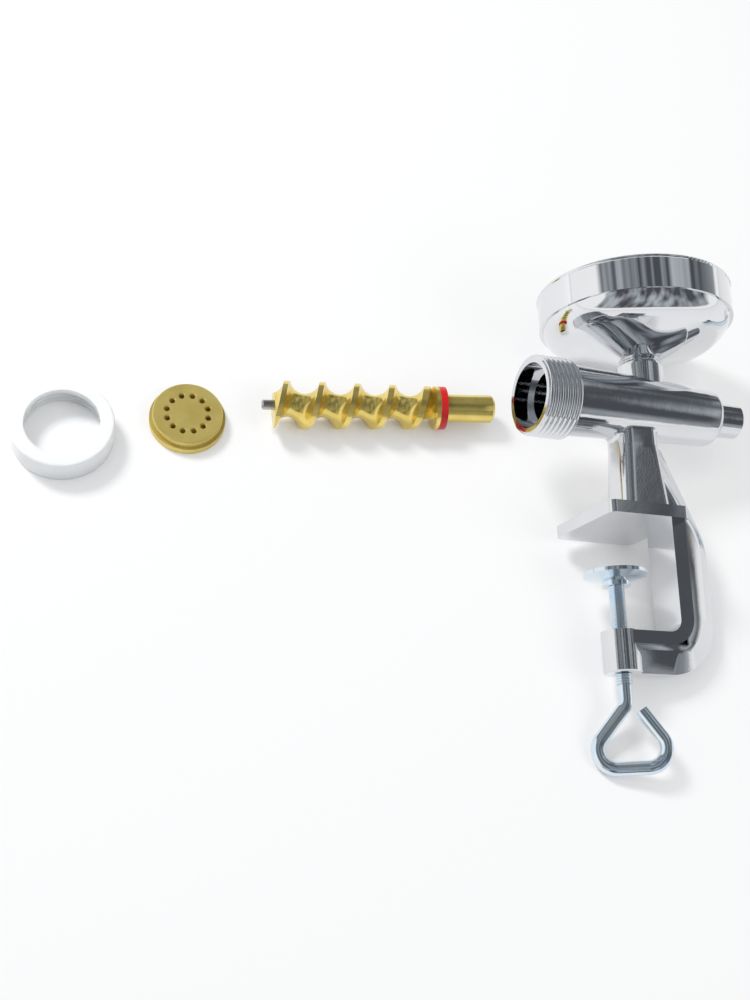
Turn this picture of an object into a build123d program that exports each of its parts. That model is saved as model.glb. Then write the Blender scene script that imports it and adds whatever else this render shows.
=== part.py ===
from build123d import *
from math import asin, cos, degrees, radians, sin, tan
import os

# A hand-cranked pasta extruder, taken apart and laid out in one row on a table.
# Lengths are millimetres. The casting's pieces are drawn as the machine stands: X runs along
# the barrel from mouth to crank, Z up the hopper's axis, with the origin where the two meet.
# The auger and the crank are drawn about their own axis along X, the rest about Z.
# All are then laid on the table, whose frame has +Z up and the row along +X.

# barrel
mouth_reach = 81.5
thread_diameter = 50.0
thread_depth = 1.4
thread_length = 23.5
barrel_front_diameter = 44.4
barrel_rear_diameter = 36.6
barrel_rear_reach = 50.5
barrel_end_round = 5.0
rear_boss_diameter = 22.6
rear_boss_length = 19.0
mouth_bore_diameter = 40.0
mouth_bore_depth = 12.0
flight_clearance = 0.6
neck_diameter = 29.0
neck_top = 30.5
neck_round = 3.0
throat_diameter = 23.0

# hopper
rim_height = 78.0
rim_band_height = 21.5
bowl_diameter = 120.0
band_wall = 1.2
bowl_shoulder_radius = 20.0
bowl_flank_angle = 20.0
hopper_wall = 1.4
lip_radius = 1.1
lip_proud = 0.6
hopper_collar_depth = 4.0
hopper_collar_wall = 1.3

# leg and clamp frame
leg_top_width = 27.0
leg_foot_width = 35.0
leg_foot_thickness = 26.0
leg_thickness = 24.0
leg_corner = 7.0
leg_middle = -10.5
leg_foot_middle = -9.5
rib_root_reach = 4.0
rib_shoulder_drop = 14.0
edge_chamfer = 0.8
overlap = 1.0
leg_root_fillet = 3.0
frame_joint_drop = 27.0
jaw_underside = -79.5
jaw_thickness = 7.5
jaw_width = 55.0
jaw_depth = 65.0
jaw_corner = 4.0
frame_back = 4.0
flange_thickness = 9.5
flange_width = 27.0
flange_outer_radius = 18.0
flange_inner_radius = 8.0
rib_edge_width = 8.0
rib_root_width = 22.0
rib_draft = 13.0
rib_back_depth = 20.5
rib_foot_depth = 16.0
rib_shoulder_radius = 45.0
rib_heel_radius = 33.0
screw_boss_diameter = 23.2
screw_boss_length = 25.0
boss_rise = 1.0
arm_depth = 8.0
clamp_gap = 64.0

# clamp screw, eye and pad
screw_diameter = 9.9
screw_clearance = 0.05
screw_axis = -31.0
screw_below_boss = 7.5
eye_rod_diameter = 8.4
eye_neck_length = 11.0
eye_width = 36.6
eye_height = 36.7
eye_bend_radius = 11.0
eye_neck_radius = 10.0
eye_corner_share = 1.15
eye_tip_drop = 3.5
eye_tip_gap = 0.2
eye_turn = 30.7
pad_diameter = 38.4
pad_top_drop = 28.0
pad_rim_thickness = 2.2
pad_cone_depth = 3.6
pad_hub_diameter = 17.0
pad_hub_depth = 8.5
rivet_head_diameter = 11.6
rivet_head_height = 1.6
rivet_shank_diameter = 6.8
rivet_head_play = 0.3
rivet_end_play = 0.4

# auger
auger_front_diameter = 31.0
auger_rear_diameter = 27.4
auger_core_diameter = 14.6
auger_pitch = 22.5
flight_land = 3.0
flight_start = -6.0
auger_length = 105.5
collar_length = 2.5
seal_thickness = 4.5
shank_diameter = 17.7
shank_length = 32.0
shank_end_chamfer = 1.5
shank_clearance = 0.08
nose_pin_diameter = 6.3
nose_pin_reach = 7.0
nose_pin_seat = 9.0
nose_clearance = 0.08
nose_play = 1.0
socket_diameter = 12.0
socket_depth = 24.0

# die plate and ring nut
die_flange_diameter = 47.4
die_boss_diameter = 43.8
die_flange_height = 5.0
die_boss_height = 5.0
die_hole_circle = 26.2
die_hole_count = 12
die_hole_diameter = 3.4
die_hole_chamfer = 0.6
die_seat_depth = 5.0
die_edge_chamfer = 0.5
ring_diameter = 63.2
ring_height = 17.0
ring_lip_thickness = 4.0
ring_lip_bore = 46.0
ring_thread_clearance = 0.3
ring_edge_round = 1.6

# crank
arm_length = 110.0
arm_width = 16.0
arm_thickness = 5.0
hub_diameter = 22.0
hub_length = 14.0
stub_clearance = 0.08
stub_length = 20.0
stub_end_chamfer = 1.2
axle_diameter = 8.0
axle_clearance = 0.08
grip_diameter = 27.0
grip_end_diameter = 21.0
grip_length = 74.0
grip_end_round = 2.0
washer_diameter = 16.0
washer_thickness = 1.5
washer_play = 0.2
cap_diameter = 13.0
cap_length = 7.0
cap_crown = 2.0
cap_round = 3.0

# places in the row, from the point where hopper and barrel meet, and the casting's turn in it
ring_place = (-360.0, 7.0)
die_place = (-283.7, 18.3)
auger_place = (-231.0, 21.5)
crank_place = (150.0, -35.0)
casting_shift = -2.0
casting_turn = 2.0

# values worked out from the ones above
mouth = -mouth_reach
thread_root = thread_diameter / 2 - thread_depth
thread_end = mouth + thread_length
barrel_end = barrel_rear_reach
boss_end = barrel_end + rear_boss_length
auger_front = mouth + nose_pin_reach - die_seat_depth + nose_play
flight_end = auger_front + auger_length
seal_end = flight_end + seal_thickness
band_bottom = rim_height - rim_band_height
band_diameter = bowl_diameter + 2 * band_wall
rim_diameter = band_diameter + 2 * lip_proud
shelf_top = jaw_underside + jaw_thickness
boss_top = jaw_underside - clamp_gap
boss_foot = boss_top - screw_boss_length
flange_back = frame_back + flange_thickness
flange_foot = boss_top - boss_rise - arm_depth
rib_back = flange_back + rib_back_depth
rib_foot = flange_foot - rib_foot_depth
rib_top = leg_middle + leg_top_width / 2 + rib_root_reach
pad_top = jaw_underside - pad_top_drop
hub_foot = pad_top - pad_hub_depth
thread_foot = boss_foot - screw_below_boss
eye_top = thread_foot - eye_neck_length


# ---------------------------------------------------------------- barrel with neck and leg root
with BuildPart() as barrel:
    with BuildSketch(Plane.XZ):
        Polygon([
            (mouth, 0),
            (mouth, thread_root - edge_chamfer),
            (mouth + edge_chamfer, thread_root),
            (thread_end, thread_root),
            (thread_end + edge_chamfer, barrel_front_diameter / 2),
            (barrel_end, barrel_rear_diameter / 2),
            (barrel_end, 0),
        ], align=None)
    revolve(axis=Axis.X)
    fillet(barrel.edges().filter_by(GeomType.CIRCLE).sort_by(Axis.X)[-1], barrel_end_round)
    with BuildSketch(Plane.YZ.offset(barrel_end - overlap)):
        Circle(rear_boss_diameter / 2)
    extrude(amount=rear_boss_length + overlap)
    chamfer(barrel.edges().sort_by(Axis.X)[-1], edge_chamfer)
    with BuildSketch(Plane.XY):
        Circle(neck_diameter / 2)
    extrude(amount=neck_top)
    fillet(barrel.edges().filter_by(GeomType.CIRCLE).sort_by(Axis.Z)[-1], neck_round)
    with BuildSketch(Plane.XY.offset(-frame_joint_drop)):
        with Locations((leg_middle, 0)):
            RectangleRounded(leg_top_width, leg_thickness, leg_corner)
    extrude(amount=frame_joint_drop)
    leg_root = barrel.edges(Select.NEW).filter_by(GeomType.LINE, reverse=True)
    fillet(leg_root.filter_by_position(Axis.Z, -barrel_front_diameter / 2, 0), leg_root_fillet)
    # the stepped, tapered bore that the auger runs in, and the hole for its shank
    with BuildSketch(Plane.XZ):
        Polygon([
            (mouth, 0),
            (mouth, mouth_bore_diameter / 2),
            (mouth + mouth_bore_depth, mouth_bore_diameter / 2),
            (mouth + mouth_bore_depth, auger_front_diameter / 2 + flight_clearance),
            (flight_end, auger_rear_diameter / 2 + flight_clearance),
            (seal_end, auger_rear_diameter / 2 + flight_clearance),
            (seal_end, shank_diameter / 2 + shank_clearance),
            (boss_end, shank_diameter / 2 + shank_clearance),
            (boss_end, 0),
        ], align=None)
    revolve(axis=Axis.X, mode=Mode.SUBTRACT)
    with BuildSketch(Plane.XY):
        Circle(throat_diameter / 2)
    extrude(amount=neck_top, mode=Mode.SUBTRACT)
    with BuildSketch(Plane.XY.offset(neck_top - hopper_collar_depth)):
        Circle(throat_diameter / 2 + hopper_collar_wall)
    extrude(amount=hopper_collar_depth, mode=Mode.SUBTRACT)

# ------------------------------------------------- clamp frame: leg, jaw plate, T-section, boss
with BuildPart() as clamp_frame:
    with BuildSketch(Plane.XY.offset(-frame_joint_drop)):
        with Locations((leg_middle, 0)):
            RectangleRounded(leg_top_width, leg_thickness, leg_corner)
    with BuildSketch(Plane.XY.offset(shelf_top)):
        with Locations((leg_foot_middle, 0)):
            RectangleRounded(leg_foot_width, leg_foot_thickness, leg_corner)
    loft()
    with BuildSketch(Plane.XY.offset(jaw_underside)):
        with Locations((frame_back - jaw_width / 2, 0)):
            RectangleRounded(jaw_width, jaw_depth, jaw_corner)
    extrude(amount=jaw_thickness)
    # wide inner flange of the C, down the back and along under the opening
    with BuildSketch(Plane.XZ) as flange_side:
        Polygon([
            (frame_back - overlap, shelf_top),
            (flange_back, shelf_top),
            (flange_back, flange_foot),
            (screw_axis, flange_foot),
            (screw_axis, flange_foot + arm_depth),
            (frame_back, flange_foot + arm_depth),
            (frame_back, jaw_underside),
            (frame_back - overlap, jaw_underside),
        ], align=None)
        corners = flange_side.vertices()
        fillet(
            corners.sort_by_distance((frame_back, flange_foot + arm_depth))[0],
            flange_inner_radius,
        )
        corners = flange_side.vertices()
        fillet(corners.sort_by_distance((flange_back, flange_foot))[0], flange_outer_radius)
    extrude(amount=flange_width / 2, both=True)
    # outer rib, from the barrel's underside round the back to the screw boss, drafted each side
    for side in (1, -1):
        for half_width, draft in ((rib_edge_width / 2, 0), (rib_root_width / 2, rib_draft)):
            with BuildSketch(Plane.XZ.offset(side * half_width)):
                with BuildLine():
                    outer = FilletPolyline(
                        (rib_top - draft, -frame_joint_drop),
                        (rib_back - draft, shelf_top - rib_shoulder_drop),
                        (rib_back - draft, rib_foot + draft),
                        (screw_axis, rib_foot + draft),
                        radius=[rib_shoulder_radius, rib_heel_radius - draft],
                    )
                    Polyline(
                        outer @ 1,
                        (screw_axis, flange_foot + overlap),
                        (frame_back + flange_thickness / 2, flange_foot + overlap),
                        (frame_back + flange_thickness / 2, shelf_top - overlap),
                        (leg_middle, shelf_top - overlap),
                        (leg_middle, -frame_joint_drop),
                        outer @ 0,
                    )
                make_face()
        loft(ruled=True)
    with BuildSketch(Plane.XZ):
        with BuildLine():
            outer = FilletPolyline(
                (rib_top, -frame_joint_drop),
                (rib_back, shelf_top - rib_shoulder_drop),
                (rib_back, rib_foot),
                (screw_axis, rib_foot),
                radius=[rib_shoulder_radius, rib_heel_radius],
            )
            Polyline(
                outer @ 1,
                (screw_axis, flange_foot + overlap),
                (frame_back + flange_thickness / 2, flange_foot + overlap),
                (frame_back + flange_thickness / 2, shelf_top - overlap),
                (leg_middle, shelf_top - overlap),
                (leg_middle, -frame_joint_drop),
                outer @ 0,
            )
        make_face()
    extrude(amount=rib_edge_width / 2, both=True)
    with BuildSketch(Plane.XY.offset(boss_foot)):
        with Locations((screw_axis, 0)):
            Circle(screw_boss_diameter / 2)
    extrude(amount=screw_boss_length)
    with BuildSketch(Plane.XY.offset(boss_foot)):
        with Locations((screw_axis, 0)):
            Circle(screw_diameter / 2 + screw_clearance)
    extrude(amount=screw_boss_length, mode=Mode.SUBTRACT)
    outer_rims = clamp_frame.edges().filter_by(GeomType.CIRCLE).group_by(Axis.Z)[0]
    chamfer(outer_rims.sort_by(SortBy.RADIUS)[-1], edge_chamfer)

# ---------------------------------------------------------------------------- hopper, spun sheet
with BuildPart() as hopper:
    bowl_radius = bowl_diameter / 2
    collar_radius = throat_diameter / 2 + hopper_collar_wall
    flank_rise = tan(radians(bowl_flank_angle))
    arc_start = bowl_radius - bowl_shoulder_radius * (1 - sin(radians(bowl_flank_angle)))
    flank_top = neck_top + (arc_start - collar_radius) * flank_rise
    with BuildSketch(Plane.XZ):
        with BuildLine():
            flank = Line((collar_radius, neck_top), (arc_start, flank_top))
            shoulder = JernArc(
                flank @ 1, flank % 1, bowl_shoulder_radius, 90 - bowl_flank_angle
            )
            wall = Line(shoulder @ 1, (bowl_radius, rim_height))
            Polyline(wall @ 1, (0, rim_height), (0, neck_top), flank @ 0)
        make_face()
    revolve(axis=Axis.Z)
    ends = hopper.faces().filter_by(GeomType.PLANE)
    offset(amount=-hopper_wall, openings=ends)
    # straight band round the rim, with its rolled lip
    with BuildSketch(Plane.XY.offset(band_bottom)):
        Circle(band_diameter / 2)
        Circle(bowl_radius - hopper_wall, mode=Mode.SUBTRACT)
    extrude(amount=rim_band_height)
    with BuildSketch(Plane.XZ):
        with Locations((rim_diameter / 2 - lip_radius, rim_height - lip_radius)):
            Circle(lip_radius)
    revolve(axis=Axis.Z)
    with BuildSketch(Plane.XY.offset(neck_top - hopper_collar_depth)):
        Circle(collar_radius)
        Circle(throat_diameter / 2, mode=Mode.SUBTRACT)
    extrude(amount=hopper_collar_depth + hopper_wall)

# ------------------------------------------------------------------ clamp screw and its bent eye
with BuildPart() as clamp_screw:
    with BuildSketch(Plane.XY.offset(thread_foot)):
        with Locations((screw_axis, 0)):
            Circle(screw_diameter / 2)
    extrude(amount=hub_foot - thread_foot)
    chamfer(clamp_screw.edges().sort_by(Axis.Z)[0], edge_chamfer)

eye_side = Vector(cos(radians(eye_turn)), -sin(radians(eye_turn)), 0)
eye_plane = Plane(
    origin=(screw_axis, 0, 0), x_dir=eye_side, z_dir=eye_side.cross(Vector(0, 0, 1))
)
eye_spread = eye_width / 2 + eye_bend_radius * eye_corner_share
with BuildPart() as clamp_eye:
    with BuildLine(eye_plane) as eye_path:
        FilletPolyline(
            (0, thread_foot),
            (0, eye_top),
            (-eye_spread, eye_top - eye_height),
            (eye_spread, eye_top - eye_height),
            (eye_rod_diameter + eye_tip_gap, eye_top - eye_tip_drop),
            radius=[eye_neck_radius, eye_bend_radius, eye_bend_radius],
        )
    with BuildSketch(Plane.XY.offset(thread_foot)):
        with Locations((screw_axis, 0)):
            Circle(eye_rod_diameter / 2)
    sweep(path=eye_path.wires()[0])

# --------------------------------------------------------------- clamp pad and the rivet in it
with BuildPart() as clamp_pad:
    with BuildSketch(Plane.XZ):
        rivet_hole = rivet_shank_diameter / 2 + screw_clearance
        rivet_recess = rivet_head_diameter / 2 + rivet_head_play
        recess_floor = pad_top - rivet_head_height - rivet_end_play
        Polygon([
            (screw_axis + rivet_hole, hub_foot),
            (screw_axis + pad_hub_diameter / 2, hub_foot),
            (screw_axis + pad_hub_diameter / 2, pad_top - pad_rim_thickness - pad_cone_depth),
            (screw_axis + pad_diameter / 2, pad_top - pad_rim_thickness),
            (screw_axis + pad_diameter / 2, pad_top),
            (screw_axis + rivet_recess, pad_top),
            (screw_axis + rivet_recess, recess_floor),
            (screw_axis + rivet_hole, recess_floor),
        ], align=None)
    revolve(axis=Axis((screw_axis, 0, 0), (0, 0, 1)))

with BuildPart() as pad_rivet:
    with BuildSketch(Plane.XY.offset(hub_foot)):
        with Locations((screw_axis, 0)):
            Circle(rivet_shank_diameter / 2)
    extrude(amount=pad_hub_depth - rivet_end_play)
    with BuildSketch(Plane.XY.offset(recess_floor + rivet_end_play / 2)):
        with Locations((screw_axis, 0)):
            Circle(rivet_head_diameter / 2)
    extrude(amount=rivet_head_height)

# ------------------------------------------------------------------------------- ring nut, moulded
with BuildPart() as ring_nut:
    with BuildSketch():
        Circle(ring_diameter / 2)
        Circle(thread_diameter / 2 + ring_thread_clearance, mode=Mode.SUBTRACT)
    extrude(amount=ring_height - ring_lip_thickness)
    with BuildSketch(Plane.XY.offset(ring_height - ring_lip_thickness)):
        Circle(ring_diameter / 2)
        Circle(ring_lip_bore / 2, mode=Mode.SUBTRACT)
    extrude(amount=ring_lip_thickness)
    outer_edges = ring_nut.edges().filter_by(GeomType.CIRCLE).group_by(SortBy.RADIUS)[-1]
    fillet(outer_edges, ring_edge_round)

# ------------------------------------------------------------------------------ die plate, turned
with BuildPart() as die_plate:
    with BuildSketch():
        Circle(die_flange_diameter / 2)
    extrude(amount=die_flange_height)
    with BuildSketch(Plane.XY.offset(die_flange_height)):
        Circle(die_boss_diameter / 2)
    extrude(amount=die_boss_height)
    chamfer(die_plate.edges().group_by(Axis.Z)[-1], die_edge_chamfer)
    with Locations(Plane.XY.offset(die_flange_height + die_boss_height)):
        with PolarLocations(die_hole_circle / 2, die_hole_count, start_angle=15):
            CounterSinkHole(die_hole_diameter / 2, die_hole_diameter / 2 + die_hole_chamfer)
    with BuildSketch():
        Circle(nose_pin_diameter / 2 + nose_clearance)
    extrude(amount=die_seat_depth, mode=Mode.SUBTRACT)

# ------------------- auger: a tapered bar with one left-hand channel that leaves the flight
crest_over = auger_front_diameter / 2 + overlap
channel_width = auger_pitch - flight_land
channel_depth = crest_over - auger_core_diameter / 2
with BuildPart() as channel:
    # the round channel between the turns, from before the front face up to the collar
    helix = Helix(
        pitch=auger_pitch,
        height=auger_length - collar_length + 2 * auger_pitch,
        radius=crest_over,
        center=(flight_start - auger_pitch, 0, 0),
        direction=(1, 0, 0),
        lefthand=True,
    )
    with BuildSketch(Plane(origin=helix @ 0, x_dir=(1, 0, 0), z_dir=(0, -1, 0))):
        with BuildLine():
            hollow = ThreePointArc(
                (-channel_width / 2, 0), (0, -channel_depth), (channel_width / 2, 0)
            )
            Line(hollow @ 1, hollow @ 0)
        make_face()
    sweep(path=helix, is_frenet=True)
    split(bisect_by=Plane.YZ.offset(auger_length - collar_length), keep=Keep.BOTTOM)

with BuildPart() as auger:
    with BuildSketch(Plane.XZ):
        Polygon([
            (0, 0),
            (0, auger_front_diameter / 2),
            (auger_length, auger_rear_diameter / 2),
            (auger_length, 0),
        ], align=None)
    revolve(axis=Axis.X)
    add(channel, mode=Mode.SUBTRACT)
    with BuildSketch(Plane.YZ.offset(auger_length)):
        Circle(shank_diameter / 2)
    extrude(amount=seal_thickness + shank_length)
    chamfer(auger.edges().sort_by(Axis.X)[-1], shank_end_chamfer)
    with BuildSketch(Plane.YZ):
        Circle(nose_pin_diameter / 2)
    extrude(amount=nose_pin_seat, mode=Mode.SUBTRACT)
    shank_end = auger_length + seal_thickness + shank_length
    with BuildSketch(Plane.YZ.offset(shank_end - socket_depth)):
        Circle(socket_diameter / 2)
    extrude(amount=socket_depth, mode=Mode.SUBTRACT)

with BuildPart() as nose_pin:
    with BuildSketch(Plane.YZ.offset(-nose_pin_reach)):
        Circle(nose_pin_diameter / 2)
    extrude(amount=nose_pin_reach + nose_pin_seat)
    chamfer(nose_pin.edges().sort_by(Axis.X)[0], edge_chamfer)

with BuildPart() as auger_seal:
    with BuildSketch(Plane.YZ.offset(auger_length)):
        Circle(auger_rear_diameter / 2)
        Circle(shank_diameter / 2 + shank_clearance / 2, mode=Mode.SUBTRACT)
    extrude(amount=seal_thickness)

# --------------------------------------------------------------------------------------- crank
with BuildPart() as crank_hub:
    with BuildSketch(Plane.YZ.offset(-hub_length)):
        Circle(hub_diameter / 2)
    extrude(amount=hub_length)
    chamfer(crank_hub.edges().sort_by(Axis.X)[0], edge_chamfer)

with BuildPart() as crank_stub:
    with BuildSketch(Plane.YZ.offset(-hub_length - stub_length)):
        Circle(socket_diameter / 2 - stub_clearance)
    extrude(amount=stub_length)
    chamfer(crank_stub.edges().sort_by(Axis.X)[0], stub_end_chamfer)

with BuildPart() as crank_arm:
    with BuildSketch(Plane.YZ):
        with Locations((arm_length / 2, 0)):
            SlotCenterToCenter(arm_length, arm_width)
        Circle(hub_diameter / 2)
    extrude(amount=arm_thickness)
    with BuildSketch(Plane.YZ):
        with Locations((arm_length, 0)):
            Circle(axle_diameter / 2)
    extrude(amount=arm_thickness, mode=Mode.SUBTRACT)
    chamfer(crank_arm.faces().sort_by(Axis.X)[-1].outer_wire().edges(), edge_chamfer)

grip_start = arm_thickness + washer_thickness + washer_play
grip_end = grip_start + grip_length
cap_start = grip_end + washer_play + washer_thickness


def across_axle(x):
    """The plane across the grip's axle at a distance x from the arm's inner face."""
    return Plane(origin=(x, arm_length, 0), x_dir=(0, 1, 0), z_dir=(1, 0, 0))


with BuildPart() as grip_axle:
    with BuildSketch(across_axle(0)):
        Circle(axle_diameter / 2)
    extrude(amount=cap_start + cap_length - cap_crown)

with BuildPart() as grip:
    with BuildSketch(Plane.XZ.offset(-arm_length)) as grip_side:
        with BuildLine():
            belly = ThreePointArc(
                (grip_start, grip_end_diameter / 2),
                (grip_start + grip_length / 2, grip_diameter / 2),
                (grip_end, grip_end_diameter / 2),
            )
            Polyline(
                belly @ 1,
                (grip_end, axle_diameter / 2 + axle_clearance),
                (grip_start, axle_diameter / 2 + axle_clearance),
                belly @ 0,
            )
        make_face()
        fillet(grip_side.vertices().group_by(Axis.Y)[-1], grip_end_round)
    revolve(axis=Axis((0, arm_length, 0), (1, 0, 0)))

with BuildPart() as inner_washer:
    with BuildSketch(across_axle(arm_thickness)):
        Circle(washer_diameter / 2)
        Circle(axle_diameter / 2, mode=Mode.SUBTRACT)
    extrude(amount=washer_thickness)

with BuildPart() as outer_washer:
    with BuildSketch(across_axle(grip_end + washer_play)):
        Circle(washer_diameter / 2)
        Circle(axle_diameter / 2, mode=Mode.SUBTRACT)
    extrude(amount=washer_thickness)

with BuildPart() as cap_nut:
    with BuildSketch(across_axle(cap_start)):
        Circle(cap_diameter / 2)
    extrude(amount=cap_length)
    fillet(cap_nut.edges().sort_by(Axis.X)[-1], cap_round)
    with BuildSketch(across_axle(cap_start)):
        Circle(axle_diameter / 2)
    extrude(amount=cap_length - cap_crown, mode=Mode.SUBTRACT)


# ------------------------------------------------------------------- laying out on the table
def resting_up(near, pieces):
    """The table's upward direction, near a given one, for an object resting on each piece."""
    clouds = [piece.part.tessellate(0.02)[0] for piece in pieces]
    up = near
    for _ in range(30):
        first, second, third = [min(cloud, key=up.dot) for cloud in clouds]
        up = (second - first).cross(third - first).normalized()
    return up


# the casting lies on the hopper's rim band, the clamp eye and a corner of the jaw plate
up = resting_up(Vector(-0.2, -0.95, 0.2), (hopper, clamp_eye, clamp_frame))
along = (Vector(1, 0, 0) - up * up.X).normalized()
casting_lies = Plane(origin=(0, 0, 0), x_dir=along, z_dir=up).location.inverse()

auger_fall = (auger_front_diameter - auger_rear_diameter) / 2
auger_dip = degrees(asin(auger_fall / (auger_length + seal_thickness)))
auger_lies = Location(
    (auger_place[0], auger_place[1], auger_front_diameter / 2 * cos(radians(auger_dip))),
    (0, auger_dip, 0),
)
crank_tip = degrees(asin((grip_diameter - hub_diameter) / 2 / arm_length))
crank_lies = Location(
    (crank_place[0], crank_place[1], hub_diameter / 2), (crank_tip, 0, 0)
)

layout = {
    "barrel": (barrel, casting_lies),
    "clamp_frame": (clamp_frame, casting_lies),
    "hopper": (hopper, casting_lies),
    "clamp_screw": (clamp_screw, casting_lies),
    "clamp_eye": (clamp_eye, casting_lies),
    "clamp_pad": (clamp_pad, casting_lies),
    "pad_rivet": (pad_rivet, casting_lies),
    "ring_nut": (ring_nut, Location((ring_place[0], ring_place[1], 0))),
    "die_plate": (die_plate, Location((die_place[0], die_place[1], 0))),
    "auger": (auger, auger_lies),
    "nose_pin": (nose_pin, auger_lies),
    "auger_seal": (auger_seal, auger_lies),
    "crank_hub": (crank_hub, crank_lies),
    "crank_stub": (crank_stub, crank_lies),
    "crank_arm": (crank_arm, crank_lies),
    "grip_axle": (grip_axle, crank_lies),
    "grip": (grip, crank_lies),
    "inner_washer": (inner_washer, crank_lies),
    "outer_washer": (outer_washer, crank_lies),
    "cap_nut": (cap_nut, crank_lies),
}


def lowest(name, place):
    """Height of the lowest point of a piece laid down by a place."""
    return (place * layout[name][0].part).bounding_box().min.Z


sink = min(lowest(name, casting_lies) for name in ("hopper", "clamp_frame", "clamp_eye"))
casting_place = Location((casting_shift, 0, -sink), (0, 0, casting_turn)) * casting_lies
laid = {}
for name, (piece, place) in layout.items():
    laid[name] = (casting_place if place is casting_lies else place) * piece.part
row = Compound(children=[Compound(solid.wrapped) for solid in laid.values()]).bounding_box()
centre = Location((-row.center().X, -row.center().Y, 0))

os.makedirs("parts", exist_ok=True)
for name, solid in laid.items():
    piece = centre * solid
    piece.label = name
    export_step(piece, f"parts/{name}.step")
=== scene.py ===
from math import pi, radians

import bpy
from mathutils import Matrix, Vector


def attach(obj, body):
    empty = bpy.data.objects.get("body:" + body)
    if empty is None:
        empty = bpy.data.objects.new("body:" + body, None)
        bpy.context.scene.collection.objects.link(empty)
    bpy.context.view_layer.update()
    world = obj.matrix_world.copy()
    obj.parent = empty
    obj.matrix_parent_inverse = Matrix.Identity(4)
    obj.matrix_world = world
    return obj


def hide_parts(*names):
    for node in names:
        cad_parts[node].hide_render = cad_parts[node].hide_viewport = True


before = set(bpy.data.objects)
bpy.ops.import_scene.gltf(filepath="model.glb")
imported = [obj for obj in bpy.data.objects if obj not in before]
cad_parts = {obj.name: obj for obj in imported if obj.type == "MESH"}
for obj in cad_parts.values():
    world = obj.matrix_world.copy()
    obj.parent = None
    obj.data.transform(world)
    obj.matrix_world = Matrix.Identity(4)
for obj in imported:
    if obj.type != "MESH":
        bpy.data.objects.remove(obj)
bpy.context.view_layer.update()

weld_distance = 0.000002


# ---------------------------------------------------------------- the table, camera and studio
# A plain white table top in a studio with white walls and a darker ceiling, which is what
# gives the chrome its dark upper sides and its white lower ones.
def fresh_material(name):
    material = bpy.data.materials.new(name)
    material.use_nodes = True
    return material, material.node_tree, material.node_tree.nodes["Principled BSDF"]


def joined(tree, source, target):
    tree.links.new(source, target)


def node_of(tree, kind, **settings):
    made = tree.nodes.new(kind)
    for name, value in settings.items():
        setattr(made, name, value)
    return made


table_size = 6.0
contact_reach = 0.03
table_glow = 0.64
bpy.ops.object.select_all(action="DESELECT")
bpy.ops.mesh.primitive_plane_add(size=table_size, location=(0, 0, 0))
table_top = bpy.context.object
table_top.name = "table_top"
table_paint, tree, shader = fresh_material("table_paint")
shader.inputs["Base Color"].default_value = (0.90, 0.90, 0.905, 1)
shader.inputs["Roughness"].default_value = 0.55
# part of the table top glows to the camera and in reflections, less so beside what stands on it
glow = node_of(tree, "ShaderNodeEmission")
glow.inputs["Color"].default_value = (1.0, 1.0, 1.0, 1)
glow.inputs["Strength"].default_value = 1.0
sight = node_of(tree, "ShaderNodeLightPath")
share = node_of(tree, "ShaderNodeMath", operation="MULTIPLY")
hidden = node_of(tree, "ShaderNodeAmbientOcclusion", samples=6)
hidden.inputs["Distance"].default_value = contact_reach
open_share = node_of(tree, "ShaderNodeMath", operation="MULTIPLY")
open_share.inputs[1].default_value = table_glow
joined(tree, hidden.outputs["AO"], open_share.inputs[0])
joined(tree, open_share.outputs[0], share.inputs[1])
seen = node_of(tree, "ShaderNodeMath", operation="MAXIMUM")
blend = node_of(tree, "ShaderNodeMixShader")
output = tree.nodes["Material Output"]
joined(tree, sight.outputs["Is Camera Ray"], seen.inputs[0])
joined(tree, sight.outputs["Is Glossy Ray"], seen.inputs[1])
joined(tree, seen.outputs[0], share.inputs[0])
joined(tree, share.outputs[0], blend.inputs[0])
joined(tree, shader.outputs[0], blend.inputs[1])
joined(tree, glow.outputs[0], blend.inputs[2])
joined(tree, blend.outputs[0], output.inputs["Surface"])
table_top.data.materials.append(table_paint)

camera_place = (-0.2626, -0.4161, 0.8034)
camera_heading = radians(-20.85)
camera_tilt = radians(30.7)
camera_roll = radians(18.1)
bpy.ops.object.camera_add(location=camera_place)
camera = bpy.context.object
camera.name = "photo_camera"
turn = Matrix.Rotation(camera_heading, 4, "Z") @ Matrix.Rotation(camera_tilt, 4, "X")
turn = turn @ Matrix.Rotation(camera_roll, 4, "Z")
camera.matrix_world = Matrix.Translation(camera.location) @ turn
camera.data.sensor_fit = "HORIZONTAL"
camera.data.sensor_width = 36.0
camera.data.lens = 72.0
bpy.context.scene.camera = camera

world = bpy.data.worlds.new("studio")
bpy.context.scene.world = world
world.use_nodes = True
tree = world.node_tree
sky = tree.nodes["Background"]
sky.inputs["Strength"].default_value = 1.0
facing = node_of(tree, "ShaderNodeTexCoord")
parts_of = node_of(tree, "ShaderNodeSeparateXYZ")
joined(tree, facing.outputs["Generated"], parts_of.inputs[0])
# white walls up to just above the table top, and a grey ceiling over them
height = node_of(tree, "ShaderNodeValToRGB")
height.color_ramp.elements[0].position = 0.04
height.color_ramp.elements[0].color = (1.0, 1.0, 1.0, 1)
height.color_ramp.elements[1].position = 0.10
height.color_ramp.elements[1].color = (0.27, 0.285, 0.30, 1)
joined(tree, parts_of.outputs["Z"], height.inputs[0])
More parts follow.
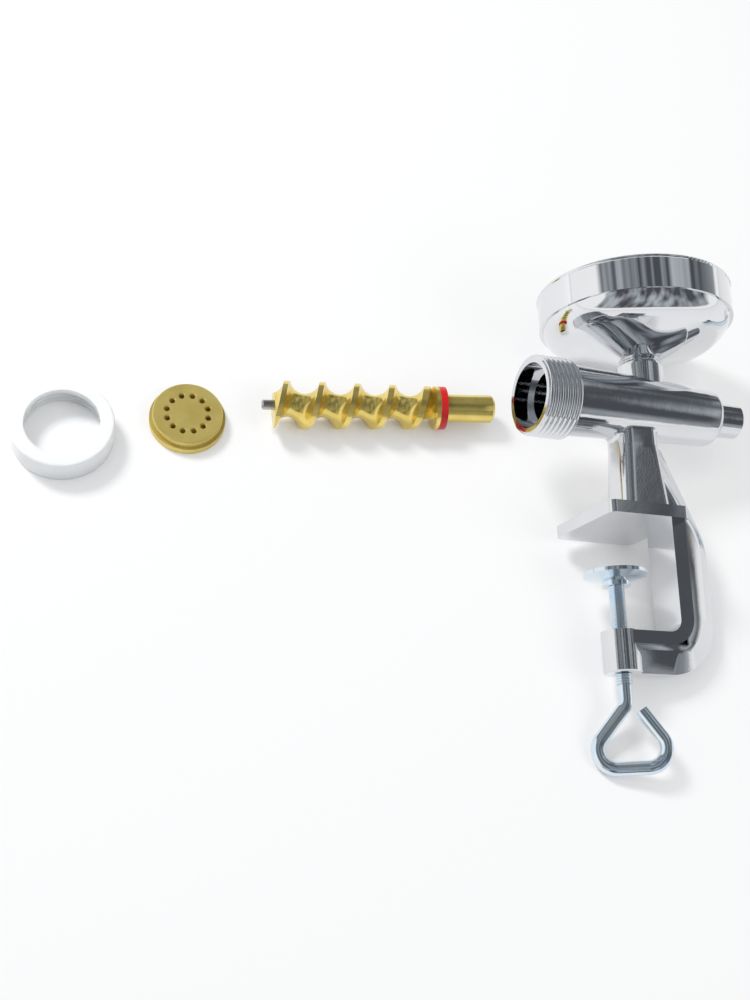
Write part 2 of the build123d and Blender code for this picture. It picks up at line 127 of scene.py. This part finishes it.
# to the left and right of the object the white walls reach up to the ceiling
sideways = node_of(tree, "ShaderNodeValToRGB")
stops = sideways.color_ramp.elements
stops[0].position = 0.10
stops[0].color = (1.0, 1.0, 1.0, 1)
stops[1].position = 0.985
stops[1].color = (1.0, 1.0, 1.0, 1)
for position in (0.13, 0.955):
    stop = stops.new(position)
    stop.color = (0.0, 0.0, 0.0, 1)
across = node_of(tree, "ShaderNodeMapRange")
across.inputs["From Min"].default_value = -1.0
across.inputs["From Max"].default_value = 1.0
joined(tree, parts_of.outputs["X"], across.inputs[0])
joined(tree, across.outputs[0], sideways.inputs[0])
# long lighter and darker strips in the ceiling
strips = node_of(tree, "ShaderNodeTexNoise")
strips.inputs["Scale"].default_value = 5.0
strips.inputs["Detail"].default_value = 1.5
lengthen = node_of(tree, "ShaderNodeMapping")
lengthen.inputs["Scale"].default_value = (1.5, 0.3, 0.3)
joined(tree, facing.outputs["Generated"], lengthen.inputs["Vector"])
joined(tree, lengthen.outputs[0], strips.inputs["Vector"])
strip_tone = node_of(tree, "ShaderNodeValToRGB")
strip_tone.color_ramp.elements[0].position = 0.38
strip_tone.color_ramp.elements[0].color = (0.30, 0.30, 0.32, 1)
strip_tone.color_ramp.elements[1].position = 0.66
strip_tone.color_ramp.elements[1].color = (1.75, 1.8, 1.8, 1)
joined(tree, strips.outputs["Fac"], strip_tone.inputs[0])
ceiling = node_of(tree, "ShaderNodeMix", data_type="RGBA", blend_type="MULTIPLY")
overhead = node_of(tree, "ShaderNodeMapRange")
overhead.inputs["From Min"].default_value = 0.05
overhead.inputs["From Max"].default_value = 0.14
joined(tree, parts_of.outputs["Z"], overhead.inputs[0])
joined(tree, overhead.outputs[0], ceiling.inputs["Factor"])
joined(tree, height.outputs[0], ceiling.inputs["A"])
joined(tree, strip_tone.outputs[0], ceiling.inputs["B"])
walls = node_of(tree, "ShaderNodeMix", data_type="RGBA", blend_type="LIGHTEN")
walls.inputs["Factor"].default_value = 1.0
joined(tree, ceiling.outputs["Result"], walls.inputs["A"])
joined(tree, sideways.outputs[0], walls.inputs["B"])
joined(tree, walls.outputs["Result"], sky.inputs["Color"])

# two soft lamps, which reflections don't show
for name, place, aim, size, power in (
    ("window_side", (-1.1, 1.0, 1.5), (0.0, 0.0, 0.0), 0.55, 36.0),
    ("room_side", (1.2, -0.9, 1.6), (0.1, 0.0, 0.0), 1.2, 13.0),
):
    bpy.ops.object.light_add(type="AREA", location=place)
    lamp = bpy.context.object
    lamp.name = name
    lamp.data.shape = "DISK"
    lamp.data.size = size
    lamp.data.energy = power
    lamp.visible_glossy = False
    lamp.rotation_euler = (Vector(aim) - Vector(place)).to_track_quat("-Z", "Y").to_euler()

bpy.context.scene.view_settings.view_transform = "Standard"


# ---------------------------------------------------------------- casting: barrel, neck and frame
# One aluminium casting, polished and chromed: a tapered barrel with a threaded mouth, the neck
# that the hopper sits in, the boss that the auger's shank turns in and the clamp frame. These
# vectors say where it lies on the table.
casting_origin = Vector((0.0741, 0.067698, 0.047805))
casting_x = Vector((0.970171, 0.033879, -0.240041)).normalized()
casting_z = Vector((0.018426, 0.977016, 0.212366)).normalized()
casting_y = casting_z.cross(casting_x).normalized()
casting_frame = Matrix((
    (casting_x.x, casting_y.x, casting_z.x, casting_origin.x),
    (casting_x.y, casting_y.y, casting_z.y, casting_origin.y),
    (casting_x.z, casting_y.z, casting_z.z, casting_origin.z),
    (0, 0, 0, 1),
))


def chrome(name, tint, roughness, ripple, ripple_size, pits=0.0):
    """Bright chrome whose polish varies a little and whose surface waves slightly."""
    material, tree, shader = fresh_material(name)
    shader.inputs["Metallic"].default_value = 1.0
    place = node_of(tree, "ShaderNodeTexCoord")
    cloud = node_of(tree, "ShaderNodeTexNoise")
    cloud.inputs["Scale"].default_value = 38.0
    cloud.inputs["Detail"].default_value = 5.0
    joined(tree, place.outputs["Object"], cloud.inputs["Vector"])
    polish = node_of(tree, "ShaderNodeMapRange")
    polish.inputs["To Min"].default_value = roughness * 0.6
    polish.inputs["To Max"].default_value = roughness * 1.5
    joined(tree, cloud.outputs["Fac"], polish.inputs[0])
    joined(tree, polish.outputs[0], shader.inputs["Roughness"])
    colour = node_of(tree, "ShaderNodeMix", data_type="RGBA")
    colour.inputs["A"].default_value = (*tint, 1)
    colour.inputs["B"].default_value = (*[c * 0.90 for c in tint], 1)
    joined(tree, cloud.outputs["Fac"], colour.inputs["Factor"])
    joined(tree, colour.outputs["Result"], shader.inputs["Base Color"])
    wave = node_of(tree, "ShaderNodeTexNoise")
    wave.inputs["Scale"].default_value = ripple_size
    wave.inputs["Detail"].default_value = 2.0
    joined(tree, place.outputs["Object"], wave.inputs["Vector"])
    bump = node_of(tree, "ShaderNodeBump")
    bump.inputs["Strength"].default_value = ripple
    bump.inputs["Distance"].default_value = 0.001
    joined(tree, wave.outputs["Fac"], bump.inputs["Height"])
    if pits:
        speck = node_of(tree, "ShaderNodeTexNoise")
        speck.inputs["Scale"].default_value = 900.0
        speck.inputs["Detail"].default_value = 2.0
        joined(tree, place.outputs["Object"], speck.inputs["Vector"])
        dents = node_of(tree, "ShaderNodeBump")
        dents.inputs["Strength"].default_value = pits
        dents.inputs["Distance"].default_value = 0.0002
        joined(tree, speck.outputs["Fac"], dents.inputs["Height"])
        joined(tree, bump.outputs[0], dents.inputs["Normal"])
        joined(tree, dents.outputs[0], shader.inputs["Normal"])
    else:
        joined(tree, bump.outputs[0], shader.inputs["Normal"])
    return material


def polished_copy(node, body, material, crease=32):
    """A copy of a CAD node with its corners joined and its round faces smooth."""
    bpy.ops.object.select_all(action="DESELECT")
    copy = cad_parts[node].copy()
    copy.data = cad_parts[node].data.copy()
    copy.parent = None
    for key in list(copy.keys()):
        del copy[key]
    copy.name = node + "_finished"
    bpy.context.scene.collection.objects.link(copy)
    bpy.context.view_layer.objects.active = copy
    copy.select_set(True)
    bpy.ops.object.mode_set(mode="EDIT")
    bpy.ops.mesh.select_all(action="SELECT")
    bpy.ops.mesh.customdata_custom_splitnormals_clear()
    bpy.ops.mesh.remove_doubles(threshold=weld_distance)
    bpy.ops.object.mode_set(mode="OBJECT")
    bpy.ops.object.shade_smooth_by_angle(angle=radians(crease))
    copy.data.materials.clear()
    copy.data.materials.append(material)
    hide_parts(node)
    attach(copy, body)
    return copy


cast_chrome = chrome("cast_chrome", (0.78, 0.79, 0.81), 0.07, 0.10, 60.0, pits=0.10)
barrel = polished_copy("barrel", "machine", cast_chrome)
clamp_frame = polished_copy("clamp_frame", "machine", cast_chrome)


# ---------------------------------------------------------------- mouth thread
# The coarse round thread that the ring nut screws on, round the outside of the barrel's mouth
# and chromed with the casting. It stands on the CAD barrel as a thin ridge.
mouth_x = -0.0815
thread_length = 0.0235
thread_pitch = 0.0033
root_radius = 0.0235
crest_radius = 0.0249
thread_lead_in = 0.0008
thread_shortening = 0.0012
section_corners = 8
section_share = 0.46
sunk_share = -0.3


def helical_ridge(name, start, length, pitch, root, crest, steps):
    """A thread ridge round the X axis: its section is screwed along and cut off square."""
    half_width = pitch * section_share
    bpy.ops.object.select_all(action="DESELECT")
    bpy.ops.mesh.primitive_circle_add(vertices=section_corners, radius=half_width)
    ridge = bpy.context.object
    ridge.name = name
    height = crest - root
    for corner in ridge.data.vertices:
        along = start - pitch + corner.co.x
        rise = max(corner.co.y / half_width, sunk_share) * height
        corner.co = Vector((along, 0.0, root + rise))
    screw = ridge.modifiers.new("screw", "SCREW")
    screw.axis = "X"
    screw.screw_offset = pitch
    # two turns more than the length needs, which the cuts at its ends take off
    screw.iterations = int(length / pitch) + 2
    screw.steps = steps
    screw.render_steps = steps
    screw.use_merge_vertices = True
    bpy.ops.object.modifier_apply(modifier="screw")
    bpy.ops.object.mode_set(mode="EDIT")
    for edge, way in ((start, True), (start + length, False)):
        bpy.ops.mesh.select_all(action="SELECT")
        bpy.ops.mesh.bisect(
            plane_co=(edge, 0, 0), plane_no=(1, 0, 0), use_fill=True,
            clear_inner=way, clear_outer=not way,
        )
    bpy.ops.mesh.select_all(action="SELECT")
    bpy.ops.mesh.remove_doubles(threshold=weld_distance)
    bpy.ops.mesh.normals_make_consistent(inside=False)
    bpy.ops.object.mode_set(mode="OBJECT")
    bpy.ops.object.shade_smooth_by_angle(angle=radians(50))
    return ridge


def placed(piece, place, body, material):
    """Bakes the place into the piece's mesh and lets it ride on its body."""
    piece.data.transform(place)
    piece.data.materials.append(material)
    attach(piece, body)


mouth_thread = helical_ridge(
    "mouth_thread", mouth_x + thread_lead_in, thread_length - thread_shortening, thread_pitch,
    root_radius, crest_radius, steps=96,
)
placed(mouth_thread, casting_frame, "machine", cast_chrome)


# ---------------------------------------------------------------- hopper
# Spun from thin sheet, mirror polished and chromed: a straight rim band with a rolled lip,
# a round belly and a flat cone that ends in a collar pressed into the neck.
bowl_chrome = chrome("bowl_chrome", (0.83, 0.84, 0.86), 0.035, 0.05, 26.0)
hopper = polished_copy("hopper", "machine", bowl_chrome, crease=28)


# ---------------------------------------------------------------- clamp screw, eye and pad
# A zinc plated steel rod, threaded for most of its length and bent into an eye to turn it by.
# A dished disc is riveted on its end so that it can turn. The threaded rod made here stands for
# the CAD rod, and the other pieces are finished copies.
def zinc(name, tint, roughness):
    """Bright zinc plate with its faint blue cast and yellowish clouds."""
    material, tree, shader = fresh_material(name)
    shader.inputs["Metallic"].default_value = 1.0
    place = node_of(tree, "ShaderNodeTexCoord")
    cloud = node_of(tree, "ShaderNodeTexNoise")
    cloud.inputs["Scale"].default_value = 90.0
    cloud.inputs["Detail"].default_value = 4.0
    joined(tree, place.outputs["Object"], cloud.inputs["Vector"])
    colour = node_of(tree, "ShaderNodeValToRGB")
    colour.color_ramp.elements[0].position = 0.35
    colour.color_ramp.elements[0].color = (tint[0] * 0.86, tint[1] * 0.93, tint[2], 1)
    colour.color_ramp.elements[1].position = 0.68
    colour.color_ramp.elements[1].color = (tint[0] * 1.02, tint[1], tint[2] * 0.95, 1)
    joined(tree, cloud.outputs["Fac"], colour.inputs[0])
    joined(tree, colour.outputs[0], shader.inputs["Base Color"])
    polish = node_of(tree, "ShaderNodeMapRange")
    polish.inputs["To Min"].default_value = roughness * 0.7
    polish.inputs["To Max"].default_value = roughness * 1.5
    joined(tree, cloud.outputs["Fac"], polish.inputs[0])
    joined(tree, polish.outputs[0], shader.inputs["Roughness"])
    grain = node_of(tree, "ShaderNodeTexNoise")
    grain.inputs["Scale"].default_value = 700.0
    joined(tree, place.outputs["Object"], grain.inputs["Vector"])
    bump = node_of(tree, "ShaderNodeBump")
    bump.inputs["Strength"].default_value = 0.15
    bump.inputs["Distance"].default_value = 0.0001
    joined(tree, grain.outputs["Fac"], bump.inputs["Height"])
    joined(tree, bump.outputs[0], shader.inputs["Normal"])
    return material


blue_zinc = zinc("blue_zinc", (0.78, 0.85, 0.91), 0.11)
screw_x = -0.031
screw_foot = -0.176
screw_top = -0.116
screw_root = 0.00415
screw_crest = 0.00492
screw_pitch = 0.0015
screw_lead_in = 0.0006
bpy.ops.object.select_all(action="DESELECT")
bpy.ops.mesh.primitive_cylinder_add(
    vertices=64, radius=screw_root, depth=screw_top - screw_foot,
    location=((screw_top + screw_foot) / 2, 0, 0), rotation=(0, pi / 2, 0),
)
screw_core = bpy.context.object
bpy.ops.object.transform_apply(location=True, rotation=True, scale=True)
bpy.ops.object.shade_smooth_by_angle(angle=radians(40))
screw_ridge = helical_ridge(
    "clamp_screw_thread", screw_foot + screw_lead_in,
    screw_top - screw_foot - screw_lead_in, screw_pitch, screw_root, screw_crest, steps=32,
)
bpy.ops.object.select_all(action="DESELECT")
screw_core.select_set(True)
screw_ridge.select_set(True)
bpy.context.view_layer.objects.active = screw_ridge
bpy.ops.object.join()
clamp_screw = bpy.context.object
upright = Matrix.Translation((screw_x, 0, 0)) @ Matrix.Rotation(-pi / 2, 4, "Y")
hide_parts("clamp_screw")
placed(clamp_screw, casting_frame @ upright, "clamp_screw", blue_zinc)
clamp_eye = polished_copy("clamp_eye", "clamp_screw", blue_zinc, crease=40)
clamp_pad = polished_copy("clamp_pad", "clamp_pad", blue_zinc, crease=30)
pad_rivet = polished_copy("pad_rivet", "clamp_screw", blue_zinc, crease=30)


# ---------------------------------------------------------------- ring nut
# Moulded in milky white plastic: a smooth round nut with an inside thread and a flat lip
# that holds the die plate on the barrel's mouth.
def milky_plastic(name, tint):
    """White plastic that lets some light through."""
    material, tree, shader = fresh_material(name)
    place = node_of(tree, "ShaderNodeTexCoord")
    cloud = node_of(tree, "ShaderNodeTexNoise")
    cloud.inputs["Scale"].default_value = 45.0
    cloud.inputs["Detail"].default_value = 3.0
    joined(tree, place.outputs["Object"], cloud.inputs["Vector"])
    colour = node_of(tree, "ShaderNodeMix", data_type="RGBA")
    colour.inputs["A"].default_value = (*tint, 1)
    colour.inputs["B"].default_value = (*[c * 0.965 for c in tint], 1)
    joined(tree, cloud.outputs["Fac"], colour.inputs["Factor"])
    joined(tree, colour.outputs["Result"], shader.inputs["Base Color"])
    polish = node_of(tree, "ShaderNodeMapRange")
    polish.inputs["To Min"].default_value = 0.22
    polish.inputs["To Max"].default_value = 0.38
    joined(tree, cloud.outputs["Fac"], polish.inputs[0])
    joined(tree, polish.outputs[0], shader.inputs["Roughness"])
    shader.inputs["Subsurface Weight"].default_value = 0.5
    shader.inputs["Subsurface Radius"].default_value = (0.006, 0.006, 0.006)
    shader.inputs["Subsurface Scale"].default_value = 1.0
    grain = node_of(tree, "ShaderNodeTexNoise")
    grain.inputs["Scale"].default_value = 320.0
    joined(tree, place.outputs["Object"], grain.inputs["Vector"])
    bump = node_of(tree, "ShaderNodeBump")
    bump.inputs["Strength"].default_value = 0.12
    bump.inputs["Distance"].default_value = 0.0002
    joined(tree, grain.outputs["Fac"], bump.inputs["Height"])
    joined(tree, bump.outputs[0], shader.inputs["Normal"])
    return material


milk_white = milky_plastic("milk_white", (0.92, 0.925, 0.93))
ring_nut = polished_copy("ring_nut", "ring_nut", milk_white, crease=35)
ring_centre = (-0.2839, 0.074698, 0.0)
inside_start = 0.0012
inside_length = 0.0106
inside_root = 0.02535
inside_crest = 0.0243
ring_thread = helical_ridge(
    "ring_thread", inside_start, inside_length, thread_pitch,
    inside_root, inside_crest, steps=80,
)
stood = Matrix.Translation(ring_centre) @ Matrix.Rotation(-pi / 2, 4, "Y")
placed(ring_thread, stood, "ring_nut", milk_white)


# ---------------------------------------------------------------- die plate
# Turned brass: a flange that the ring nut presses on, and a face with twelve holes through
# which the dough comes out, each with its edge broken.
def brass(name, tint, roughness, bare, lathe=None, cast=0.0):
    """Brass, partly bare and partly dull, with lathe marks round a centre or a cast skin."""
    material, tree, shader = fresh_material(name)
    shader.inputs["Metallic"].default_value = bare
    place = node_of(tree, "ShaderNodeTexCoord")
    cloud = node_of(tree, "ShaderNodeTexNoise")
    cloud.inputs["Scale"].default_value = 60.0
    cloud.inputs["Detail"].default_value = 5.0
    joined(tree, place.outputs["Object"], cloud.inputs["Vector"])
    colour = node_of(tree, "ShaderNodeValToRGB")
    colour.color_ramp.elements[0].position = 0.3
    colour.color_ramp.elements[0].color = (tint[0] * 0.86, tint[1] * 0.80, tint[2] * 0.66, 1)
    colour.color_ramp.elements[1].position = 0.7
    colour.color_ramp.elements[1].color = (*tint, 1)
    joined(tree, cloud.outputs["Fac"], colour.inputs[0])
    joined(tree, colour.outputs[0], shader.inputs["Base Color"])
    polish = node_of(tree, "ShaderNodeMapRange")
    polish.inputs["To Min"].default_value = roughness * 0.75
    polish.inputs["To Max"].default_value = roughness * 1.35
    joined(tree, cloud.outputs["Fac"], polish.inputs[0])
    joined(tree, polish.outputs[0], shader.inputs["Roughness"])
    bump = node_of(tree, "ShaderNodeBump")
    bump.inputs["Distance"].default_value = 0.0002
    if lathe:
        bump.inputs["Strength"].default_value = 0.18
        centred = node_of(tree, "ShaderNodeMapping")
        centred.inputs["Location"].default_value = [-c for c in lathe]
        rings = node_of(tree, "ShaderNodeTexWave", wave_type="RINGS", rings_direction="Z")
        rings.inputs["Scale"].default_value = 520.0
        rings.inputs["Distortion"].default_value = 0.6
        joined(tree, place.outputs["Object"], centred.inputs["Vector"])
        joined(tree, centred.outputs[0], rings.inputs["Vector"])
        joined(tree, rings.outputs["Fac"], bump.inputs["Height"])
    else:
        skin = node_of(tree, "ShaderNodeTexNoise")
        skin.inputs["Scale"].default_value = 260.0
        skin.inputs["Detail"].default_value = 3.0
        bump.inputs["Strength"].default_value = cast
        joined(tree, place.outputs["Object"], skin.inputs["Vector"])
        joined(tree, skin.outputs["Fac"], bump.inputs["Height"])
    joined(tree, bump.outputs[0], shader.inputs["Normal"])
    return material


die_centre = (-0.2076, 0.085998, 0.0)
turned_brass = brass("turned_brass", (0.88, 0.72, 0.24), 0.40, 0.62, lathe=die_centre)
die_plate = polished_copy("die_plate", "die", turned_brass, crease=25)


# ---------------------------------------------------------------- auger, nose pin and seal
# A brass screw with one left-hand flight round a thick core, polished, with a plain shank.
# A steel pin in its nose turns in the die, and a red ring seals it at the barrel's end.
cast_brass = brass("cast_brass", (0.90, 0.72, 0.22), 0.18, 0.86, cast=0.12)
auger = polished_copy("auger", "auger", cast_brass, crease=30)
dull_steel = zinc("dull_steel", (0.52, 0.50, 0.46), 0.30)
nose_pin = polished_copy("nose_pin", "auger", dull_steel, crease=30)
seal_red, tree, shader = fresh_material("seal_red")
place = node_of(tree, "ShaderNodeTexCoord")
dust = node_of(tree, "ShaderNodeTexNoise")
dust.inputs["Scale"].default_value = 220.0
joined(tree, place.outputs["Object"], dust.inputs["Vector"])
shade = node_of(tree, "ShaderNodeMix", data_type="RGBA")
shade.inputs["A"].default_value = (0.72, 0.012, 0.014, 1)
shade.inputs["B"].default_value = (0.60, 0.016, 0.016, 1)
joined(tree, dust.outputs["Fac"], shade.inputs["Factor"])
joined(tree, shade.outputs["Result"], shader.inputs["Base Color"])
shader.inputs["Roughness"].default_value = 0.4
soft = node_of(tree, "ShaderNodeBump")
soft.inputs["Strength"].default_value = 0.1
soft.inputs["Distance"].default_value = 0.0002
joined(tree, dust.outputs["Fac"], soft.inputs["Height"])
joined(tree, soft.outputs[0], shader.inputs["Normal"])
auger_seal = polished_copy("auger_seal", "seal", seal_red, crease=30)


# ---------------------------------------------------------------- crank
# A zinc plated flat arm with a hub and a stub that enters the auger's shank, and a white
# plastic grip that turns on its axle between two washers, held by a cap nut.
for node in (
    "crank_hub", "crank_stub", "crank_arm", "grip_axle", "inner_washer", "outer_washer", "cap_nut",
):
    piece = polished_copy(node, "crank", blue_zinc, crease=30)
grip = polished_copy("grip", "grip", milk_white, crease=35)
